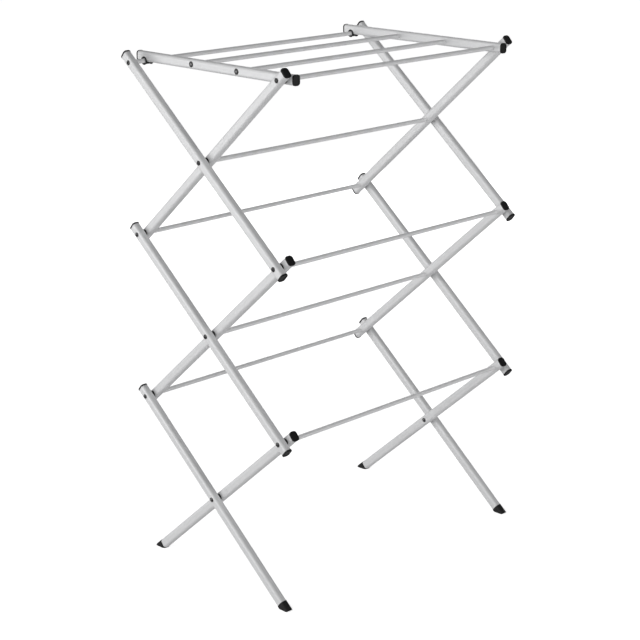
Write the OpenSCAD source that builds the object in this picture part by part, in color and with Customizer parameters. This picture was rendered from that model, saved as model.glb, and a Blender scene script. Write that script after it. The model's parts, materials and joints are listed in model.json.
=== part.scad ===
// Three-tier accordion clothes drying rack.
// Two lazy-tong end panels of round-cornered tube are joined by round rails,
// and two hinged top arms hook over the first rail to lock the rack open.
// X = depth of the end panels, Y = along the rails, Z = up.
// Origin: centre of the footprint, on the floor.

/* [Frame] */
// Distance between the two end pivots of one bar
bar_pitch = 530; // [480:5:560]
// Angle of every bar from the vertical when the rack is open
open_angle = 49.6; // [46:0.2:52]
// Length of tube past each end pivot
bar_end = 20.5; // [18:0.5:24]
// Distance along a leg from the cross pivot to the floor
leg_length = 268; // [250:1:280]
// Clear width between the inner faces of the two end panels
inner_width = 598; // [500:1:700]

/* [Tube] */
// Wide side of the tube
tube_w = 19.6; // [19:0.2:21]
// Thin side of the tube
tube_t = 16; // [15:0.2:17]
// Corner radius of the tube section
tube_r = 5.5; // [4.5:0.5:6.5]
// Wall of the tube
tube_wall = 1.1; // [0.8:0.1:1.4]
// Gap between neighbouring layers of tube
layer_gap = 3.6; // [3.4:0.1:4]

/* [Rails] */
// Outside diameter of the round rails
rail_d = 9; // [8:0.2:10]
// Wall of the round rails
rail_wall = 1; // [0.8:0.1:1.2]
// Distance of the second top rail from the arm pivot
rail_2_at = 260; // [240:1:280]
// Distance of the third top rail from the arm pivot
rail_3_at = 130; // [100:1:150]

/* [Fasteners] */
// Diameter of the pivot screws
screw_d = 5; // [4:0.5:5]
// Diameter of the domed screw heads
head_d = 9.6; // [9:0.2:11]
// Diameter of the domed rivets on the top arms
arm_rivet_d = 11.6; // [10:0.2:13]
// Diameter of the plastic washers between the tubes
washer_d = 15; // [12:0.5:18]

/* [Plastic] */
// Thickness of the end cap rim
cap_rim = 3.4; // [2.4:0.1:3.8]
// How far the cap rim stands out past the tube
cap_over = 0.5; // [0.2:0.1:0.8]
// Depth of the plug inside the tube
plug_depth = 12; // [8:1:16]

/* [Hidden] */

$fn = 64;
e = 0.01;
steel = [0.86, 0.87, 0.88];
black = [0.09, 0.09, 0.10];
zinc = [0.62, 0.63, 0.64];

ca = cos(open_angle);
sa = sin(open_angle);
span_x = bar_pitch * sa;            // pivot to pivot, across
span_z = bar_pitch * ca;            // crossing to crossing, up
z3 = leg_length * ca;               // lower crossing
z2 = z3 + span_z;                   // middle crossing
z1 = z2 + span_z;                   // upper crossing
zt = z1 + span_z / 2;               // top pivots
xr = span_x / 2;
run = 0.08;                         // radial running clearance of a pivot
slide = 0.25;                       // end play at each moving face

// layers, measured out from the middle of the rack
y_bi = inner_width / 2;             // inner bars, inside face
y_bo = y_bi + tube_t;
y_ai = y_bo + layer_gap;            // outer bars, inside face
y_ao = y_ai + tube_t;
y_ro = y_bi - layer_gap;            // top arms, outside face
y_ri = y_ro - tube_t;
y_a = (y_ai + y_ao) / 2;
y_b = (y_bi + y_bo) / 2;
y_r = (y_ri + y_ro) / 2;

half = bar_pitch / 2;
arm_tilt = 1.1;                     // the arms rise slightly to clear the hook rail
hook_x = span_x * cos(arm_tilt);    // hook rail in the arm's own axes
hook_z = -span_x * sin(arm_tilt);
foot_from = leg_length - tube_w / 2 * tan(open_angle) - 2.4;
foot_to = foot_from + 22;

// ---------- shared shapes ----------
// round-cornered section, wide along Y of the sketch, thin along X; its corners stay concentric with the tube's
module oval(w, t) {
  r = tube_r - (tube_t - t) / 2;
  union() {
    square([t, w - 2 * r], center = true);
    square([t - 2 * r, w], center = true);
    translate([t / 2 - r, w / 2 - r]) circle(r = r);
    translate([r - t / 2, w / 2 - r]) circle(r = r);
    translate([t / 2 - r, r - w / 2]) circle(r = r);
    translate([r - t / 2, r - w / 2]) circle(r = r);
  }
}

// solid bar of that section from a to b along +X, wide along Z, thin along Y
module oval_rod(a, b, w, t)
  translate([a, 0, 0]) rotate([90, 0, 90]) linear_extrude(b - a) oval(w, t);

// cross hole along Y at station s
module cross_hole(s, d)
  translate([s, 0, 0]) rotate([90, 0, 0]) cylinder(d = d, h = tube_t + 4, center = true);

// open-ended tube with cross holes at the stations given
module tube(a, b, holes, d)
  difference() {
    oval_rod(a, b, tube_w, tube_t);
    oval_rod(a - 1, b + 1, tube_w - 2 * tube_wall, tube_t - 2 * tube_wall);
    for (s = holes) cross_hole(s, d);
  }

// place a shape on a bar that falls to the right, or on one that rises to the right
module on_fall(z, y) translate([0, y, z]) rotate([0, 90 - open_angle, 0]) children();
module on_rise(z, y) translate([0, y, z]) rotate([0, open_angle - 90, 0]) children();
// place a shape on a top arm: +X runs from the pivot towards the hook
module on_arm(y) translate([xr, y, zt]) rotate([0, arm_tilt, 0]) mirror([1, 0, 0]) children();

// end cap: plug in the tube, rim over its end and a shallow dish in the rim
module cap(s, dir)
  translate([s, 0, 0]) mirror([dir < 0 ? 1 : 0, 0, 0])
    difference() {
      union() {
        oval_rod(-plug_depth, 0, tube_w - 2 * tube_wall, tube_t - 2 * tube_wall);
        oval_rod(0, cap_rim - 0.8, tube_w + 2 * cap_over, tube_t + 2 * cap_over);
        oval_rod(cap_rim - 0.8 - e, cap_rim, tube_w + 2 * cap_over - 1.2, tube_t + 2 * cap_over - 1.2);
      }
      oval_rod(cap_rim - 0.7, cap_rim + 1, tube_w - 4.4, tube_t - 4.4);
      oval_rod(-plug_depth - 1, -2, tube_w - 2 * tube_wall - 3, tube_t - 2 * tube_wall - 3);
    }

// dome of diameter d and height h standing on +Z
module dome(d, h) {
  r = (d * d / 4 + h * h) / (2 * h);
  rotate_extrude()
    intersection() {
      translate([0, h - r]) circle(r = r, $fn = 96);
      square([d / 2, h]);
    }
}

// pivot screw pointing along +Y from the outer face at y = 0; the head is on the -Y side
module screw(length)
  rotate([-90, 0, 0])
    difference() {
      union() {
        mirror([0, 0, 1]) { cylinder(d = head_d, h = 0.5); translate([0, 0, 0.5 - e]) dome(head_d, 2.2); }
        translate([0, 0, -e]) cylinder(d = screw_d, h = length - 0.8 + e);
        translate([0, 0, length - 0.8 - e]) cylinder(d1 = screw_d, d2 = screw_d - 1.4, h = 0.8 + e);
      }
      translate([0, 0, -4]) cylinder(d = 3.9, h = 2.7, $fn = 6);
    }

// pair of things at the two ends: front is -Y, and the rear copy is turned round
module both_ends() { children(); mirror([0, 1, 0]) children(); }

// both screws of a pivot, whose heads lie on the face at y_face and whose tips end at y_tip
module screw_pair(x, z, y_face, y_tip)
  both_ends() translate([x, -y_face - slide, z]) screw(y_face + slide - y_tip);

// round rail between the faces at +y_end and -y_end
module rail(y_end)
  rotate([90, 0, 0])
    difference() {
      cylinder(d = rail_d, h = 2 * y_end, center = true);
      cylinder(d = rail_d - 2 * rail_wall, h = 2 * y_end + 2, center = true);
    }

// threaded inserts that close the two ends of a rail
module insert_pair(x, z, y_end)
  both_ends() translate([x, -y_end, z]) rotate([-90, 0, 0])
    difference() {
      cylinder(d = rail_d - 2 * rail_wall, h = 16);
      translate([0, 0, -1]) cylinder(d = screw_d, h = 18);
    }

// plastic washers standing on the face at y_in and reaching outwards
module washer_pair(x, z, y_in)
  both_ends() translate([x, -y_in, z]) rotate([90, 0, 0])
    difference() {
      union() {
        cylinder(d = washer_d, h = layer_gap - slide - 0.6);
        translate([0, 0, layer_gap - slide - 0.6 - e]) cylinder(d = washer_d - 3, h = 0.6 + e);
      }
      translate([0, 0, -1]) cylinder(d = screw_d + 2 * run, h = layer_gap + 2);
    }

// foot: plug and solid boot, cut level with the floor
module foot_shape()
  difference() {
    union() {
      oval_rod(foot_from - 16, foot_from, tube_w - 2 * tube_wall, tube_t - 2 * tube_wall);
      oval_rod(foot_from, foot_to, tube_w + 2 * cap_over, tube_t + 2 * cap_over);
    }
    oval_rod(foot_from - 17, foot_from - 3, tube_w - 2 * tube_wall - 3, tube_t - 2 * tube_wall - 3);
  }
module level_cut() intersection() {
  children();
  translate([-400, -400, 0]) cube([800, 800, 400]);
}

// U-shaped hook profile round the hook rail, open downwards, in the arm's X-Z plane
hook_r = rail_d / 2 + 0.4;
module hook_u(r_out, drop) {
  difference() {
    union() {
      circle(r = r_out);
      translate([-r_out, -drop]) square([2 * r_out, drop]);
    }
    circle(r = hook_r);
    polygon([[-hook_r, 0], [hook_r, 0], [hook_r, -drop - 1], [-hook_r - 1.4, -drop - 1], [-hook_r - 0.6, -3]]);
  }
}
hook_wall = 2.2;
hook_drop = tube_w / 2 + hook_z + 1.6;

// ---------- bars ----------
module outer_bar(z, y) color(steel) on_fall(z, y)
  tube(-half - bar_end, half + bar_end, [-half, 0, half], screw_d + 2 * run);
module inner_bar(z, y) color(steel) on_rise(z, y)
  tube(-half - bar_end, half + bar_end, [-half, 0, half], screw_d + 2 * run);
module outer_leg(y) color(steel) on_fall(z3, y)
  tube(-half - bar_end, foot_from, [-half, 0], screw_d + 2 * run);
module inner_leg(y) color(steel) on_rise(z3, y) mirror([1, 0, 0])
  tube(-half - bar_end, foot_from, [-half, 0], screw_d + 2 * run);
module outer_foot(y) color(black) level_cut() on_fall(z3, y) foot_shape();
module inner_foot(y) color(black) level_cut() on_rise(z3, y) mirror([1, 0, 0]) foot_shape();

module outer_caps(z, y, both) color(black) for (s = [-1, 1]) on_fall(z, s * y) {
  cap(-half - bar_end, -1);
  if (both) cap(half + bar_end, 1);
}
module inner_caps(z, y, both) color(black) for (s = [-1, 1]) on_rise(z, s * y) {
  cap(half + bar_end, 1);
  if (both) cap(-half - bar_end, -1);
}

// ---------- top arms ----------
module top_arm(y) color(steel) on_arm(y)
  difference() {
    tube(-bar_end, hook_x + bar_end, [0, rail_3_at, rail_2_at], screw_d + 2 * run);
    translate([hook_x, 0, hook_z]) rotate([90, 0, 0]) {
      cylinder(r = hook_r + hook_wall, h = tube_t + 4, center = true);
      translate([-hook_r - hook_wall, -20, -tube_t / 2 - 2]) cube([2 * (hook_r + hook_wall), 20, tube_t + 4]);
    }
  }
module hook_clip(y) color(black) on_arm(y)
  translate([hook_x, 0, hook_z]) rotate([90, 0, 0]) {
    translate([0, 0, -tube_t / 2]) linear_extrude(tube_t) hook_u(hook_r + hook_wall, hook_drop);
    for (f = [-tube_t / 2 - 0.9, tube_t / 2])
      translate([0, 0, f]) linear_extrude(0.9) hook_u(hook_r + hook_wall + 1.2, hook_drop);
  }
module top_arm_caps() color(black) for (s = [-1, 1]) on_arm(s * y_r) {
  cap(-bar_end, -1);
  cap(hook_x + bar_end, 1);
}
// domed rivet through an arm into the end of a top rail
module arm_rivet(at) both_ends() translate([arm_pt(at)[0], -y_ro, arm_pt(at)[1]]) rotate([-90, 0, 0])
  union() {
    mirror([0, 0, 1]) { cylinder(d = arm_rivet_d, h = 0.4); translate([0, 0, 0.4 - e]) dome(arm_rivet_d, 1.8); }
    translate([0, 0, -e]) cylinder(d = screw_d, h = tube_t + 12);
  }
function arm_pt(at) = [xr - at * cos(arm_tilt), zt + at * sin(arm_tilt)];

module rail_at(x, z, y_end) color(steel) translate([x, 0, z]) rail(y_end);
module screws_at(x, z, y_face, y_in) color(black) screw_pair(x, z, y_face, y_in - 13);
module inserts_at(x, z, y_in) color(zinc) insert_pair(x, z, y_in);
module washers_at(x, z, y_in) color(black) washer_pair(x, z, y_in);

// ---------- lower crossing, riveted to the outer legs ----------
module cross_rivets() color(black) both_ends() translate([0, -y_ao, z3]) rotate([-90, 0, 0]) {
  mirror([0, 0, 1]) { cylinder(d = head_d, h = 0.5); translate([0, 0, 0.5 - e]) dome(head_d, 2.2); }
  translate([0, 0, -e]) cylinder(d = screw_d, h = y_ao - y_bi + slide + 2 * e);
  translate([0, 0, y_ao - y_bi + slide]) { cylinder(d = head_d, h = 0.5); translate([0, 0, 0.5 - e]) dome(head_d, 1.6); }
}
module cross_washers() color(black) both_ends() translate([0, -y_ai, z3]) rotate([-90, 0, 0])
  difference() {
    cylinder(d = washer_d, h = layer_gap - slide);
    translate([0, 0, -1]) cylinder(d = screw_d, h = layer_gap + 2);
  }

// ---------- assembly ----------
p2 = arm_pt(rail_2_at);
p3 = arm_pt(rail_3_at);
cross_rivets();
cross_washers();

outer_leg(-y_a);  // outer_leg_front
outer_leg(y_a);  // outer_leg_rear
outer_caps(z3, y_a, false);  // outer_leg_caps
outer_foot(-y_a);  // outer_foot_front
outer_foot(y_a);  // outer_foot_rear

inner_leg(-y_b);  // inner_leg_front
inner_leg(y_b);  // inner_leg_rear
inner_caps(z3, y_b, false);  // inner_leg_caps
inner_foot(-y_b);  // inner_foot_front
inner_foot(y_b);  // inner_foot_rear
rail_at(xr, z3 + span_z / 2, y_bi);  // lower_right_rail
screws_at(xr, z3 + span_z / 2, y_ao, y_bi);  // lower_right_screws
inserts_at(xr, z3 + span_z / 2, y_bi);  // lower_right_inserts
washers_at(xr, z3 + span_z / 2, y_bo);  // lower_right_washers

inner_bar(z2, -y_b);  // middle_inner_bar_front
inner_bar(z2, y_b);  // middle_inner_bar_rear
inner_caps(z2, y_b, true);  // middle_inner_caps
rail_at(xr, z2 + span_z / 2, y_bi);  // middle_right_rail
rail_at(0, z2, y_bi);  // middle_cross_rail
rail_at(-xr, z2 - span_z / 2, y_bi);  // lower_left_rail
screws_at(xr, z2 + span_z / 2, y_ao, y_bi);  // middle_right_screws
screws_at(0, z2, y_ao, y_bi);  // middle_cross_screws
screws_at(-xr, z2 - span_z / 2, y_ao, y_bi);  // lower_left_screws
union() { inserts_at(xr, z2 + span_z / 2, y_bi); inserts_at(0, z2, y_bi); inserts_at(-xr, z2 - span_z / 2, y_bi); }  // middle_inserts
union() { washers_at(xr, z2 + span_z / 2, y_bo); washers_at(0, z2, y_bo); washers_at(-xr, z2 - span_z / 2, y_bo); }  // middle_washers

outer_bar(z2, -y_a);  // middle_outer_bar_front
outer_bar(z2, y_a);  // middle_outer_bar_rear
outer_caps(z2, y_a, true);  // middle_outer_caps

outer_bar(z1, -y_a);  // upper_outer_bar_front
outer_bar(z1, y_a);  // upper_outer_bar_rear
outer_caps(z1, y_a, true);  // upper_outer_caps
rail_at(-xr, zt, y_ai);  // hook_rail
color(black) both_ends() translate([-xr, -y_ao, zt]) screw(tube_t + 13);  // hook_rail_screws
inserts_at(-xr, zt, y_ai);  // hook_rail_inserts

inner_bar(z1, -y_b);  // upper_inner_bar_front
inner_bar(z1, y_b);  // upper_inner_bar_rear
inner_caps(z1, y_b, true);  // upper_inner_caps
rail_at(0, z1, y_bi);  // upper_cross_rail
rail_at(-xr, z1 - span_z / 2, y_bi);  // middle_left_rail
screws_at(0, z1, y_ao, y_bi);  // upper_cross_screws
screws_at(-xr, z1 - span_z / 2, y_ao, y_bi);  // middle_left_screws
union() { inserts_at(0, z1, y_bi); inserts_at(-xr, z1 - span_z / 2, y_bi); }  // upper_inserts
union() { washers_at(0, z1, y_bo); washers_at(-xr, z1 - span_z / 2, y_bo); }  // upper_washers

top_arm(-y_r);  // top_arm_front
top_arm(y_r);  // top_arm_rear
top_arm_caps();
hook_clip(-y_r);  // hook_clip_front
hook_clip(y_r);  // hook_clip_rear
rail_at(xr, zt, y_ri);  // arm_pivot_rail
rail_at(p2[0], p2[1], y_ri);  // top_rail_2
rail_at(p3[0], p3[1], y_ri);  // top_rail_3
screws_at(xr, zt, y_bo, y_ri);  // arm_pivot_screws
color(black) { arm_rivet(rail_2_at); arm_rivet(rail_3_at); }  // arm_rivets
union() { inserts_at(xr, zt, y_ri); inserts_at(p2[0], p2[1], y_ri); inserts_at(p3[0], p3[1], y_ri); }  // arm_inserts
washers_at(xr, zt, y_ro);  // arm_washers
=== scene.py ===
# Clothes drying rack: looks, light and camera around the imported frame.
import json
import math

import bpy
from mathutils import Matrix, Vector

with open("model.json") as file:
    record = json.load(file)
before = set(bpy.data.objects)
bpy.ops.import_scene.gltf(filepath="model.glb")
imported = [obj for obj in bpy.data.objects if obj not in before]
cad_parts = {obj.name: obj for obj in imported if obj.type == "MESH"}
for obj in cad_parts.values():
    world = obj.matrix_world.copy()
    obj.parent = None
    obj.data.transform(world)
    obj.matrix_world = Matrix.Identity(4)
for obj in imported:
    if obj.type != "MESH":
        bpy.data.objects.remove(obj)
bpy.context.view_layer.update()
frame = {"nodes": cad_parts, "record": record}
scene = bpy.context.scene


# ---------------------------------------------------------------- node helpers
def new_mat(name):
    m = bpy.data.materials.new(name)
    m.use_nodes = True
    nt = m.node_tree
    for n in list(nt.nodes):
        nt.nodes.remove(n)
    out = nt.nodes.new("ShaderNodeOutputMaterial")
    bsdf = nt.nodes.new("ShaderNodeBsdfPrincipled")
    nt.links.new(bsdf.outputs["BSDF"], out.inputs["Surface"])
    return m, nt, bsdf


def node(nt, kind, **props):
    n = nt.nodes.new(kind)
    for k, v in props.items():
        setattr(n, k, v)
    return n


def coords(nt, scale=(1, 1, 1), rot=(0, 0, 0)):
    tc = node(nt, "ShaderNodeTexCoord")
    mp = node(nt, "ShaderNodeMapping")
    mp.inputs["Scale"].default_value = scale
    mp.inputs["Rotation"].default_value = rot
    nt.links.new(tc.outputs["Object"], mp.inputs["Vector"])
    return mp.outputs["Vector"]


def noise(nt, vec, scale, detail=3.0, rough=0.55):
    n = node(nt, "ShaderNodeTexNoise")
    n.inputs["Scale"].default_value = scale
    n.inputs["Detail"].default_value = detail
    n.inputs["Roughness"].default_value = rough
    nt.links.new(vec, n.inputs["Vector"])
    return n.outputs["Fac"]


def ramp(nt, fac, stops):
    r = node(nt, "ShaderNodeValToRGB")
    cr = r.color_ramp
    cr.elements[0].position, cr.elements[0].color = stops[0][0], stops[0][1]
    cr.elements[1].position, cr.elements[1].color = stops[-1][0], stops[-1][1]
    for pos, col in stops[1:-1]:
        el = cr.elements.new(pos)
        el.color = col
    nt.links.new(fac, r.inputs["Fac"])
    return r.outputs["Color"]


def maprange(nt, fac, a, b, c, d):
    m = node(nt, "ShaderNodeMapRange")
    m.inputs["From Min"].default_value = a
    m.inputs["From Max"].default_value = b
    m.inputs["To Min"].default_value = c
    m.inputs["To Max"].default_value = d
    nt.links.new(fac, m.inputs["Value"])
    return m.outputs["Result"]


def mix(nt, fac, a, b, kind="MIX"):
    m = node(nt, "ShaderNodeMix", data_type="RGBA", blend_type=kind)
    if isinstance(fac, (int, float)):
        m.inputs[0].default_value = fac
    else:
        nt.links.new(fac, m.inputs[0])
    for sock, v in ((m.inputs[6], a), (m.inputs[7], b)):
        if isinstance(v, tuple):
            sock.default_value = v
        else:
            nt.links.new(v, sock)
    return m.outputs[2]


def math_node(nt, op, a, b=None):
    m = node(nt, "ShaderNodeMath", operation=op)
    for i, v in enumerate((a, b)):
        if v is None:
            continue
        if isinstance(v, (int, float)):
            m.inputs[i].default_value = v
        else:
            nt.links.new(v, m.inputs[i])
    return m.outputs[0]


def bump(nt, height, strength, distance, normal=None):
    b = node(nt, "ShaderNodeBump")
    b.inputs["Strength"].default_value = strength
    b.inputs["Distance"].default_value = distance
    nt.links.new(height, b.inputs["Height"])
    if normal is not None:
        nt.links.new(normal, b.inputs["Normal"])
    return b.outputs["Normal"]


def edge_mask(nt, lo=0.52, hi=0.60):
    g = node(nt, "ShaderNodeNewGeometry")
    return maprange(nt, g.outputs["Pointiness"], lo, hi, 0.0, 1.0)


# ---------------------------------------------------------------- materials
def painted_steel(name, tint, metallic, rough, wear=0.5):
    """Satin silver-white powder coat: orange-peel skin, faint metallic flop, handling marks, thin paint on edges."""
    m, nt, bsdf = new_mat(name)
    v = coords(nt)
    cloud = noise(nt, v, 14.0, 4.0, 0.6)
    fine = noise(nt, v, 900.0, 2.0, 0.5)
    peel = noise(nt, v, 320.0, 2.0, 0.45)
    flake = noise(nt, v, 2600.0, 1.0, 0.5)
    rub = noise(nt, coords(nt, (1, 1, 1), (0.4, 0.2, 0.7)), 60.0, 6.0, 0.7)
    base = ramp(nt, cloud, [
        (0.30, (tint[0] * 0.988, tint[1] * 0.989, tint[2] * 0.990, 1)),
        (0.52, (tint[0], tint[1], tint[2], 1)),
        (0.74, (tint[0] * 1.01, tint[1] * 1.01, tint[2] * 1.009, 1)),
    ])
    base = mix(nt, maprange(nt, flake, 0.45, 0.75, 0.0, 0.12), base, (0.95, 0.95, 0.95, 1))
    marks = maprange(nt, rub, 0.66, 0.80, 0.0, 0.12)
    base = mix(nt, marks, base, (tint[0] * 0.84, tint[1] * 0.84, tint[2] * 0.845, 1))
    edge = math_node(nt, "MULTIPLY", edge_mask(nt, 0.60, 0.72), maprange(nt, rub, 0.45, 0.65, 0.0, wear))
    base = mix(nt, edge, base, (0.55, 0.555, 0.56, 1))
    nt.links.new(base, bsdf.inputs["Base Color"])
    bsdf.inputs["Metallic"].default_value = metallic
    r = maprange(nt, cloud, 0.3, 0.7, rough - 0.012, rough + 0.016)
    r = math_node(nt, "ADD", r, math_node(nt, "MULTIPLY", marks, 0.12))
    nt.links.new(r, bsdf.inputs["Roughness"])
    bsdf.inputs["Coat Weight"].default_value = 0.08
    bsdf.inputs["Coat Roughness"].default_value = 0.25
    bsdf.inputs["Specular IOR Level"].default_value = 0.5
    h = math_node(nt, "ADD", math_node(nt, "MULTIPLY", peel, 0.7), math_node(nt, "MULTIPLY", fine, 0.3))
    nt.links.new(bump(nt, h, 0.22, 0.00008), bsdf.inputs["Normal"])
    return m


def black_plastic(name, base, rough, grain=1500.0, strength=0.5):
    """Moulded black plastic: spark-eroded grain, slight sheen changes, paler scuffs on the edges."""
    m, nt, bsdf = new_mat(name)
    v = coords(nt)
    cloud = noise(nt, v, 45.0, 3.0, 0.6)
    g1 = noise(nt, v, grain, 3.0, 0.6)
    scuff = noise(nt, coords(nt, (1, 1, 1), (0.3, 0.9, 0.1)), 220.0, 6.0, 0.72)
    col = ramp(nt, cloud, [(0.30, (base * 0.85, base * 0.85, base * 0.88, 1)), (0.72, (base * 1.25, base * 1.25, base * 1.26, 1))])
    marks = maprange(nt, scuff, 0.62, 0.75, 0.0, 0.22)
    col = mix(nt, marks, col, (0.06, 0.06, 0.061, 1))
    edge = math_node(nt, "MULTIPLY", edge_mask(nt, 0.55, 0.68), maprange(nt, scuff, 0.40, 0.65, 0.0, 0.35))
    col = mix(nt, edge, col, (0.055, 0.055, 0.056, 1))
    nt.links.new(col, bsdf.inputs["Base Color"])
    bsdf.inputs["Metallic"].default_value = 0.0
    bsdf.inputs["Specular IOR Level"].default_value = 0.28
    rr = math_node(nt, "ADD", maprange(nt, cloud, 0.3, 0.7, rough - 0.05, rough + 0.06), math_node(nt, "MULTIPLY", marks, 0.4))
    nt.links.new(rr, bsdf.inputs["Roughness"])
    nt.links.new(bump(nt, g1, strength, 0.00010), bsdf.inputs["Normal"])
    return m


def black_fastener(name):
    """Black-oxide screw heads: dark satin metal with drawn swirl and worn rims."""
    m, nt, bsdf = new_mat(name)
    v = coords(nt)
    n1 = noise(nt, v, 400.0, 4.0, 0.6)
    n2 = noise(nt, v, 2400.0, 2.0, 0.5)
    col = ramp(nt, n1, [(0.3, (0.008, 0.008, 0.009, 1)), (0.7, (0.018, 0.018, 0.019, 1))])
    edge = math_node(nt, "MULTIPLY", edge_mask(nt, 0.53, 0.60), maprange(nt, n1, 0.4, 0.6, 0.0, 0.6))
    col = mix(nt, edge, col, (0.16, 0.16, 0.165, 1))
    nt.links.new(col, bsdf.inputs["Base Color"])
    bsdf.inputs["Metallic"].default_value = 0.0
    bsdf.inputs["Specular IOR Level"].default_value = 0.6
    nt.links.new(maprange(nt, n1, 0.3, 0.7, 0.10, 0.16), bsdf.inputs["Roughness"])
    bsdf.inputs["Coat Weight"].default_value = 0.6
    bsdf.inputs["Coat Roughness"].default_value = 0.06
    nt.links.new(bump(nt, n2, 0.12, 0.00003), bsdf.inputs["Normal"])
    return m


def zinc(name):
    m, nt, bsdf = new_mat(name)
    v = coords(nt, (1, 0.05, 1))
    n1 = noise(nt, v, 1200.0, 3.0, 0.6)
    nt.links.new(ramp(nt, n1, [(0.3, (0.45, 0.46, 0.47, 1)), (0.7, (0.62, 0.63, 0.64, 1))]), bsdf.inputs["Base Color"])
    bsdf.inputs["Metallic"].default_value = 1.0
    nt.links.new(maprange(nt, n1, 0.3, 0.7, 0.28, 0.42), bsdf.inputs["Roughness"])
    nt.links.new(bump(nt, n1, 0.3, 0.00005), bsdf.inputs["Normal"])
    return m


MATS = {
    "tube_paint": painted_steel("silver_white_tube", (0.80, 0.803, 0.808), 0.16, 0.46),
    # rail paint: the same powder coat as the tubes, with a lighter tint and less metal as painted light, standing in
    # for the brighter light the rails catch
    "rail_paint": painted_steel("silver_white_rail_painted_lighter", (0.86, 0.863, 0.868), 0.14, 0.44, 0.35),
    "black_plastic": black_plastic("black_moulded_plastic", 0.009, 0.44),
    "black_rubber_foot": black_plastic("black_foot_plastic", 0.010, 0.52, 1100.0, 0.7),
    "black_fastener": black_fastener("black_fastener"),
    "zinc_insert": zinc("zinc_insert"),
}

slots = {s["node"]: s["material_slot"] for s in frame["record"]["subparts"]}
for name, ob in frame["nodes"].items():
    mat = MATS[slots[name]]
    ob.data.materials.clear()
    ob.data.materials.append(mat)
    for p in ob.data.polygons:
        p.material_index = 0

# softly rounded edges on the moulded pieces
for name, ob in frame["nodes"].items():
    if slots[name] in ("black_plastic", "black_rubber_foot") and not name.endswith("washers"):
        bv = ob.modifiers.new("round_edges", "BEVEL")
        bv.width = 0.0005 if "foot" in name else 0.0003
        bv.segments = 2
        bv.limit_method = "ANGLE"
        bv.angle_limit = math.radians(50)
        bv.use_clamp_overlap = True
        bv.harden_normals = False

# ---------------------------------------------------------------- stage
def floor_mesh():
    me = bpy.data.meshes.new("studio_floor")
    s, n = 30.0, 12
    verts = [(-s + 2 * s * i / n, -s + 2 * s * j / n, 0.0) for j in range(n + 1) for i in range(n + 1)]
    faces = [(j * (n + 1) + i, j * (n + 1) + i + 1, (j + 1) * (n + 1) + i + 1, (j + 1) * (n + 1) + i) for j in range(n) for i in range(n)]
    me.from_pydata(verts, [], faces)
    ob = bpy.data.objects.new("studio_floor", me)
    scene.collection.objects.link(ob)
    return ob


floor = floor_mesh()
fm, fnt, fb = new_mat("pale_floor")
fv = coords(fnt)
fnt.links.new(ramp(fnt, noise(fnt, fv, 1.2, 3.0, 0.5), [(0.3, (0.80, 0.80, 0.804, 1)), (0.7, (0.82, 0.82, 0.822, 1))]), fb.inputs["Base Color"])
fb.inputs["Roughness"].default_value = 0.7
fb.inputs["Specular IOR Level"].default_value = 0.1
# a softly lit sweep: the camera sees a white floor with faint shadows, while its bounce on the object stays low
fem = fnt.nodes.new("ShaderNodeEmission")
fem.inputs["Color"].default_value = (1, 1, 1, 1)
fem.inputs["Strength"].default_value = 0.73
fadd = fnt.nodes.new("ShaderNodeAddShader")
fmix = fnt.nodes.new("ShaderNodeMixShader")
flp = fnt.nodes.new("ShaderNodeLightPath")
fout = next(n for n in fnt.nodes if n.type == "OUTPUT_MATERIAL")
fnt.links.new(fb.outputs["BSDF"], fadd.inputs[0])
fnt.links.new(fem.outputs["Emission"], fadd.inputs[1])
fnt.links.new(flp.outputs["Is Camera Ray"], fmix.inputs["Fac"])
fnt.links.new(fb.outputs["BSDF"], fmix.inputs[1])
fnt.links.new(fadd.outputs["Shader"], fmix.inputs[2])
fnt.links.new(fmix.outputs["Shader"], fout.inputs["Surface"])
floor.data.materials.append(fm)

# ---------------------------------------------------------------- world: a soft tent, bright from the front left, dim behind
world = bpy.data.worlds.new("studio")
scene.world = world
world.use_nodes = True
wn = world.node_tree
for n in list(wn.nodes):
    wn.nodes.remove(n)
wout = wn.nodes.new("ShaderNodeOutputWorld")
bg = wn.nodes.new("ShaderNodeBackground")
bgc = wn.nodes.new("ShaderNodeBackground")
lp = wn.nodes.new("ShaderNodeLightPath")
mx = wn.nodes.new("ShaderNodeMixShader")
tc = wn.nodes.new("ShaderNodeTexCoord")
dot = wn.nodes.new("ShaderNodeVectorMath")
dot.operation = "DOT_PRODUCT"
dot.inputs[1].default_value = Vector((-0.12, -0.88, -0.42)).normalized()
wn.links.new(tc.outputs["Generated"], dot.inputs[0])
mr = wn.nodes.new("ShaderNodeMapRange")
mr.inputs["From Min"].default_value = -1.0
mr.inputs["From Max"].default_value = 1.0
wn.links.new(dot.outputs["Value"], mr.inputs["Value"])
wr = wn.nodes.new("ShaderNodeValToRGB")
cr = wr.color_ramp
cr.elements[0].position, cr.elements[0].color = 0.0, (0.16, 0.16, 0.163, 1)
cr.elements[1].position, cr.elements[1].color = 1.0, (1.0, 1.0, 1.0, 1)
for pos, val in ((0.30, 0.17), (0.48, 0.36), (0.66, 0.58), (0.82, 0.78)):
    el = cr.elements.new(pos)
    el.color = (val, val, val * 1.005, 1)
wn.links.new(mr.outputs["Result"], wr.inputs["Fac"])
wn.links.new(wr.outputs["Color"], bg.inputs["Color"])
bg.inputs["Strength"].default_value = 1.0
bgc.inputs["Color"].default_value = (1, 1, 1, 1)
bgc.inputs["Strength"].default_value = 1.2
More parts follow.
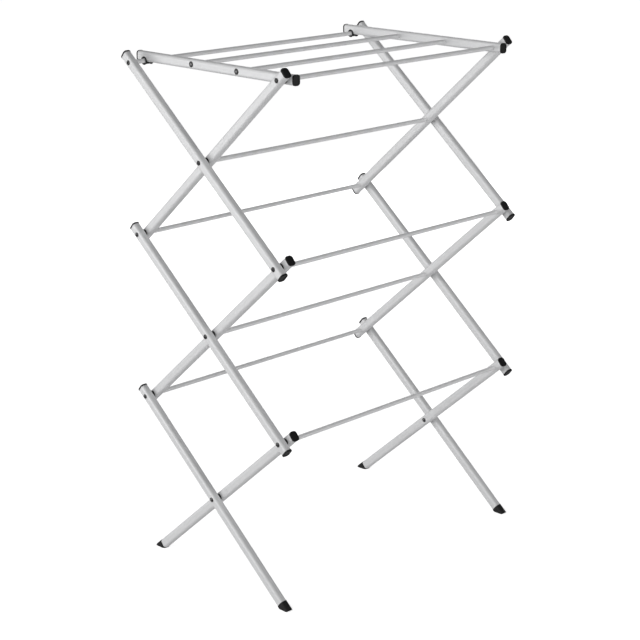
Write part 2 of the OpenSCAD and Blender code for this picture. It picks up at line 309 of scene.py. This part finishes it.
wn.links.new(lp.outputs["Is Camera Ray"], mx.inputs["Fac"])
wn.links.new(bg.outputs["Background"], mx.inputs[1])
wn.links.new(bgc.outputs["Background"], mx.inputs[2])
wn.links.new(mx.outputs["Shader"], wout.inputs["Surface"])


# ---------------------------------------------------------------- lights
def sun(name, direction, strength, angle):
    d = bpy.data.lights.new(name, "SUN")
    d.energy = strength
    d.angle = math.radians(angle)
    o = bpy.data.objects.new(name, d)
    o.rotation_euler = Vector(direction).to_track_quat("-Z", "Y").to_euler()
    scene.collection.objects.link(o)
    return o


def area(name, loc, target, sx, sy, power):
    d = bpy.data.lights.new(name, "AREA")
    d.shape = "RECTANGLE"
    d.size, d.size_y = sx, sy
    d.energy = power
    o = bpy.data.objects.new(name, d)
    o.location = loc
    o.rotation_euler = (Vector(target) - Vector(loc)).to_track_quat("-Z", "Y").to_euler()
    scene.collection.objects.link(o)
    return o


sun("key_sun", (0.35, 0.72, -0.60), 0.30, 8)
area("left_softbox", (-1.7, -3.2, 0.55), (0, 0, 0.5), 2.2, 1.6, 34)
area("right_fill", (3.0, 0.4, 0.3), (0, 0, 0.55), 1.8, 0.8, 24)
area("rear_fill", (-2.4, 3.0, 1.1), (0, 0, 0.55), 2.2, 1.8, 26)

# ---------------------------------------------------------------- camera
cam_data = bpy.data.cameras.new("camera")
cam_data.sensor_fit = "HORIZONTAL"
cam_data.sensor_width = 36.0
cam_data.lens = 36.0 * 1600.927 / 640.0
cam_data.clip_start = 0.05
cam_data.clip_end = 200.0
cam = bpy.data.objects.new("camera", cam_data)
scene.collection.objects.link(cam)
right = Vector((0.69673235, 0.71713574, -0.01674411))
up = Vector((-0.19515925, 0.21196517, 0.95759262))
back = Vector((0.69027306, -0.66391799, 0.28763867))
rot = Matrix((right, up, back)).transposed().to_4x4()
cam.matrix_world = Matrix.Translation(Vector((2.30343221, -2.23924140, 1.44248093))) @ rot
scene.camera = cam

scene.view_settings.view_transform = "Standard"
scene.view_settings.look = "None"
scene.view_settings.exposure = 0.0
scene.view_settings.gamma = 1.0
